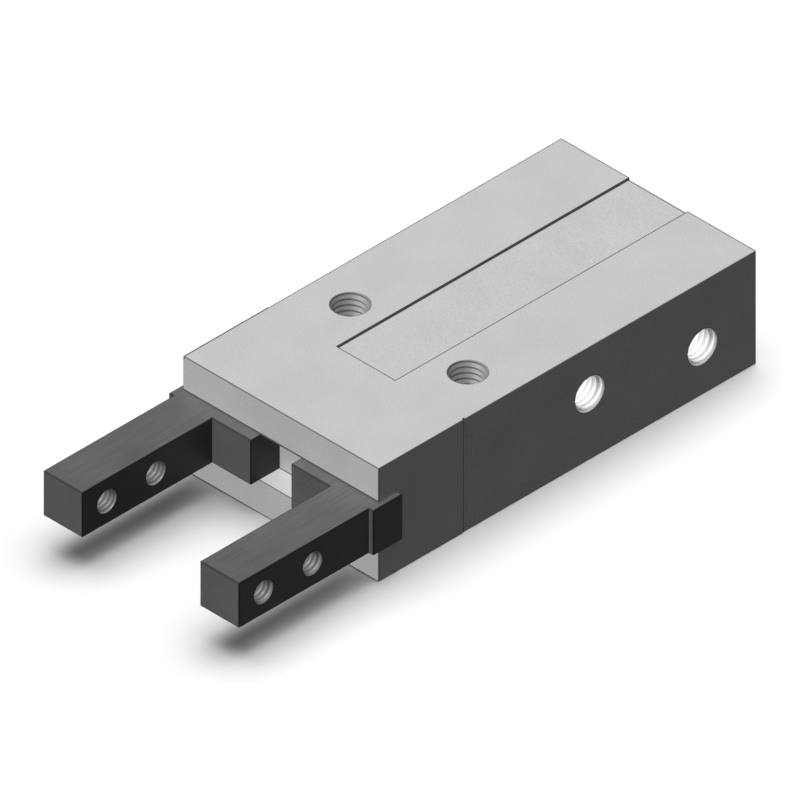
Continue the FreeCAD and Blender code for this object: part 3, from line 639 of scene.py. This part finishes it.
# %% Make the bare metals
ALONG_DEPTH = (500.0, 14000.0, 500.0)
ALONG_HEIGHT = (500.0, 500.0, 14000.0)
FLAT_GROUND = (600.0, 9000.0, 9000.0)
BARE_METALS = {
    # slot: (tone, tint, squeeze, smooth, rough, relief in mm)
    "lever_steel": (0.34, (1.0, 0.99, 0.97), FLAT_GROUND, 0.30, 0.50, 0.004),
    "bearing_steel": (0.62, (1.0, 1.0, 1.0), ALONG_HEIGHT, 0.08, 0.18, 0.0005),
    "pin_steel": (0.52, (1.0, 0.99, 0.98), ALONG_HEIGHT, 0.20, 0.36, 0.002),
    "rod_steel": (0.58, (0.99, 1.0, 1.0), ALONG_DEPTH, 0.14, 0.28, 0.0015),
    "piston_aluminium": (0.66, (1.0, 1.0, 0.99), ALONG_DEPTH, 0.28, 0.46, 0.005),
    "spring_steel": (0.16, (1.0, 0.98, 0.95), FLAT_GROUND, 0.34, 0.52, 0.004),
}
for slot_name, (tone, tint, squeeze, smooth, rough, relief) in BARE_METALS.items():
    paint, tree, shader, place = start_finish(f"bare_{slot_name}", 1.0, 0.5)
    cut = put_group(tree, cut_lines, Place=place, Squeeze=squeeze, Drift=0.5)
    marks = put_group(tree, scuffs, Place=place, Squeeze=(1500.0, 1500.0, 500.0), Rarity=0.68)["Mask"]
    colour = swing(tree, cut["Tone"], as_colour(tone * 0.86, tint), as_colour(tone * 1.12, tint))
    colour = lay_over(tree, colour, marks, 0.3, tone * 0.6, tint)
    tree.links.new(colour, shader.inputs["Base Color"])
    spread_roughness(tree, shader, cut["Tone"], smooth, rough)
    raise_relief(tree, shader, cut["Height"], relief * MM)
    FINISHES[slot_name] = paint
print("bare metals:", len(BARE_METALS))

# %% [markdown]
# ### Rubber, resin and sintered bronze
#
# The seals are black moulded rubber with a faint pale bloom, the bumpers a firmer amber rubber, the wear ring
# a tan resin with dark specks, and the magnet a charcoal bonded powder. The rod bush is pressed from bronze
# powder and its open pores hold oil, so its dents are deep and dark.

# %% Make the moulded and pressed finishes
MOULDED = {
    # slot: (metallic, low colour, high colour, dents per metre, smooth, rough, relief in mm)
    "seal_rubber": (0.0, (0.012, 0.012, 0.013, 1), (0.035, 0.035, 0.036, 1), 9000.0, 0.42, 0.62, 0.006),
    "bumper_rubber": (0.0, (0.20, 0.085, 0.022, 1), (0.30, 0.14, 0.04, 1), 7000.0, 0.36, 0.55, 0.006),
    "wear_resin": (0.0, (0.11, 0.08, 0.045, 1), (0.36, 0.29, 0.19, 1), 13000.0, 0.45, 0.62, 0.004),
    "magnet_rubber": (0.0, (0.022, 0.022, 0.024, 1), (0.07, 0.07, 0.075, 1), 16000.0, 0.50, 0.72, 0.006),
    "bush_bronze": (1.0, (0.18, 0.09, 0.03, 1), (0.55, 0.33, 0.13, 1), 18000.0, 0.30, 0.60, 0.010),
}
for slot_name, (metallic, low_colour, high_colour, dents, smooth, rough, relief) in MOULDED.items():
    paint, tree, shader, place = start_finish(f"moulded_{slot_name}", metallic, 0.5)
    skin = put_group(tree, grain, Place=place, Dents_per_metre=dents, Drift=0.8)
    colour = swing(tree, skin["Tone"], low_colour, high_colour)
    tree.links.new(colour, shader.inputs["Base Color"])
    spread_roughness(tree, shader, skin["Tone"], smooth, rough)
    raise_relief(tree, shader, skin["Height"], relief * MM)
    FINISHES[slot_name] = paint
print("moulded finishes:", len(MOULDED))

# %% [markdown]
# ## Dress the solids
#
# Every solid arrives with the plain material that its record names. Its slot stays and only the material in
# it is exchanged, so a change of finish later still finds the same slots.

# %% Give every solid its finish
for solid in SOLIDS.values():
    for index, plain in enumerate(solid.data.materials):
        solid.data.materials[index] = next(FINISHES[s] for s in FINISHES if plain.name.startswith(s))
print("dressed:", {n: SOLIDS[n].data.materials[0].name for n in sorted(SOLIDS)})

# %% [markdown]
# ## Screw threads
#
# The mounting holes, the ports and the rear holes are tapped for M3 screws, and the fingers for M2. A solid
# with real threads would be slow to check for collisions, so the solids have plain bores and the threads are
# made here, as thin sleeves on the bores' walls. A tap cuts a groove that climbs one pitch per turn, so the
# wall moves in and out with the height above a helix. One grid of angle times depth holds that surface whole.

# %% A threaded sleeve from a grid
THREAD_STEPS_PER_PITCH = 10
THREAD_STEPS_PER_TURN = 48
SLEEVE_WALL = 0.02 * MM
LEAD_IN = 0.30 * MM
RIDGE_HEIGHT = 0.5413
ROOT_FLAT, CREST_FLAT = 1 / 8, 1 / 4


def threaded_sleeve(name, mouth, inward, radius, length, pitch, open_ended):
    """A closed ring along a bore. With t from nought at the mouth to the length, and the angle a round the
    axis, the helix phase is t over the pitch minus a over a full turn. The ridge is flat and nought for an
    eighth of each pitch, rises and falls along 60 degree flanks, and is flat for a quarter at its top, where
    it is 0.5413 of the pitch high. The wall's radius is the bore's radius minus the ridge. The ridge fades out
    over the lead-in at the mouth, and at the far end of an open bore."""
    rows = int(length / pitch * THREAD_STEPS_PER_PITCH) + 1
    along = np.linspace(0.0, length, rows)[:, None]
    angle = np.linspace(0.0, 2 * np.pi, THREAD_STEPS_PER_TURN, endpoint=False)[None, :]
    phase = (along / pitch - angle / (2 * np.pi)) % 1.0
    triangle = 1.0 - np.abs(2.0 * phase - 1.0)
    flank = (triangle - ROOT_FLAT) / (1.0 - CREST_FLAT - ROOT_FLAT)
    ridge = RIDGE_HEIGHT * pitch * np.clip(flank, 0.0, 1.0)
    fade = np.clip(along / LEAD_IN, 0.0, 1.0)
    if open_ended:
        fade = fade * np.clip((length - along) / LEAD_IN, 0.0, 1.0)
    inner = radius - SLEEVE_WALL / 2 - ridge * fade
    outer = np.full((2, THREAD_STEPS_PER_TURN), radius + SLEEVE_WALL / 2)
    reach = np.concatenate([inner, outer])
    depth = np.concatenate([along + 0 * angle, np.array([[length], [0.0]]) + 0 * angle])
    axis = Vector(inward).normalized()
    side = axis.orthogonal().normalized()
    up = axis.cross(side)
    points = (np.array(mouth)[None, None, :] + depth[..., None] * np.array(axis)
              + (reach * np.cos(angle))[..., None] * np.array(side)
              + (reach * np.sin(angle))[..., None] * np.array(up))
    row, column = np.meshgrid(np.arange(rows + 2), np.arange(THREAD_STEPS_PER_TURN), indexing="ij")
    next_row, next_column = (row + 1) % (rows + 2), (column + 1) % THREAD_STEPS_PER_TURN
    corner = [r * THREAD_STEPS_PER_TURN + c for r, c in
              ((row, column), (next_row, column), (next_row, next_column), (row, next_column))]
    faces = np.stack([c.ravel() for c in corner], axis=1)
    mesh = bpy.data.meshes.new(name)
    mesh.from_pydata(points.reshape(-1, 3).tolist(), [], faces.tolist())
    mesh.polygons.foreach_set("use_smooth", np.ones(len(faces), bool))
    mesh.update()
    sleeve = bpy.data.objects.new(name, mesh)
    bpy.context.scene.collection.objects.link(sleeve)
    return sleeve


print("a sleeve has", THREAD_STEPS_PER_TURN, "faces in a turn and", THREAD_STEPS_PER_PITCH, "in a pitch")

# %% [markdown]
# ### Where the threads go
#
# A table holds every tapped bore: its mouth and length in millimetres, the way into the metal, its screw, if
# it goes right through, and the body that carries it. The sleeves stop a hair below each mouth, so they never
# stand out of the metal. The mounting and finger bores go right through and have a lead-in at both ends.

# %% Cut the threads
BELOW_FACE = 0.02
SCREWS = {
    # screw: (radius, pitch) in mm
    "M3": (1.5, 0.5),
    "M2": (1.0, 0.4),
}
tapped = []
for side_name, side in (("right", 1), ("left", -1)):
    tapped.append((f"mounting_thread_{side_name}", (6.0 * side, 0.0, 10.0), (0, 0, -1), "M3", 10.0, True,
                   "housing", "body_aluminium"))
    tapped.append((f"rear_thread_{side_name}", (7.0 * side, 25.5, 5.0), (0, -1, 0), "M3", 3.4, False,
                   "housing", "body_aluminium"))
    for place_name, depth in (("outer", -24.85), ("inner", -19.85)):
        tapped.append((f"finger_thread_{place_name}_{side_name}", (10.0 * side, depth, 5.0), (-side, 0, 0),
                       "M2", 4.0, True, f"finger_{side_name}", "finger_steel"))
for port_name, depth, height in (("close", 8.5, 5.8), ("open", 20.0, 4.2)):
    tapped.append((f"port_thread_{port_name}", (9.95, depth, height), (-1, 0, 0), "M3", 4.5, False,
                   "housing", "body_aluminium"))
THREADS = {}
for name, mouth, inward, screw, length, open_ended, carrier, slot_name in tapped:
    radius, pitch = SCREWS[screw]
    start = [(m + i * BELOW_FACE) * MM for m, i in zip(mouth, inward)]
    sleeve = threaded_sleeve(name, start, inward, radius * MM, (length - 2 * BELOW_FACE) * MM, pitch * MM,
                             open_ended)
    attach(sleeve, carrier)
    THREADS[name] = sleeve
print("threads:", len(THREADS), "faces in all:", sum(len(t.data.polygons) for t in THREADS.values()))

# %% [markdown]
# ### Freshly cut metal
#
# The threads are tapped after anodising and hardening, so they show bare metal, smoother than the skin round
# it, with the tap's fine scratches. The ports and the mounting holes are the same bare aluminium, yet the
# ports are painted almost white, as painted light inside them, and the mounting and rear holes are painted
# darker than the top round them, as painted shade inside them. The holes in the dark fingers are a middle
# grey.

# %% Make the cut metal finishes
TAP_SCRATCHES = (7000.0, 7000.0, 7000.0)
CUT_METALS = {
    # name: (tone, rough from, rough to, objects whose names start with)
    # Painted light: the ports' threads are made almost white.
    "cut_port_painted_light": (0.88, 0.34, 0.50, "port_thread"),
    # Painted shade: the mounting and rear threads are made dark.
    "cut_body_painted_shade": (0.26, 0.40, 0.56, ("mounting_thread", "rear_thread")),
    "cut_finger": (0.285, 0.36, 0.52, "finger_thread"),
}
for name, (tone, smooth, rough, first_words) in CUT_METALS.items():
    paint, tree, shader, place = start_finish(name, 0.1, 0.5)
    cut = put_group(tree, cut_lines, Place=place, Squeeze=TAP_SCRATCHES, Drift=0.3)
    colour = swing(tree, cut["Tone"], as_colour(tone * 0.93), as_colour(min(tone * 1.05, 0.98)))
    tree.links.new(colour, shader.inputs["Base Color"])
    spread_roughness(tree, shader, cut["Tone"], smooth, rough)
    raise_relief(tree, shader, cut["Height"], 0.002 * MM, 0.5)
    for thread_name, thread in THREADS.items():
        if thread_name.startswith(first_words):
            thread.data.materials.append(paint)
print("cut metals:", {n: t.data.materials[0].name for n, t in THREADS.items()})

# %% [markdown]
# ## Compare the sizes and finish
#
# The finishes and threads add nothing outside the solids, so the box round the dressed object is the box of
# the solids. The two boxes are compared here, and the largest change is printed.

low_end, high_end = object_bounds()
changes = [abs(a - b) for a, b in zip([*low, *high], [*low_end, *high_end])]
print("largest change of the box in mm:", round(max(changes) / MM, 4))
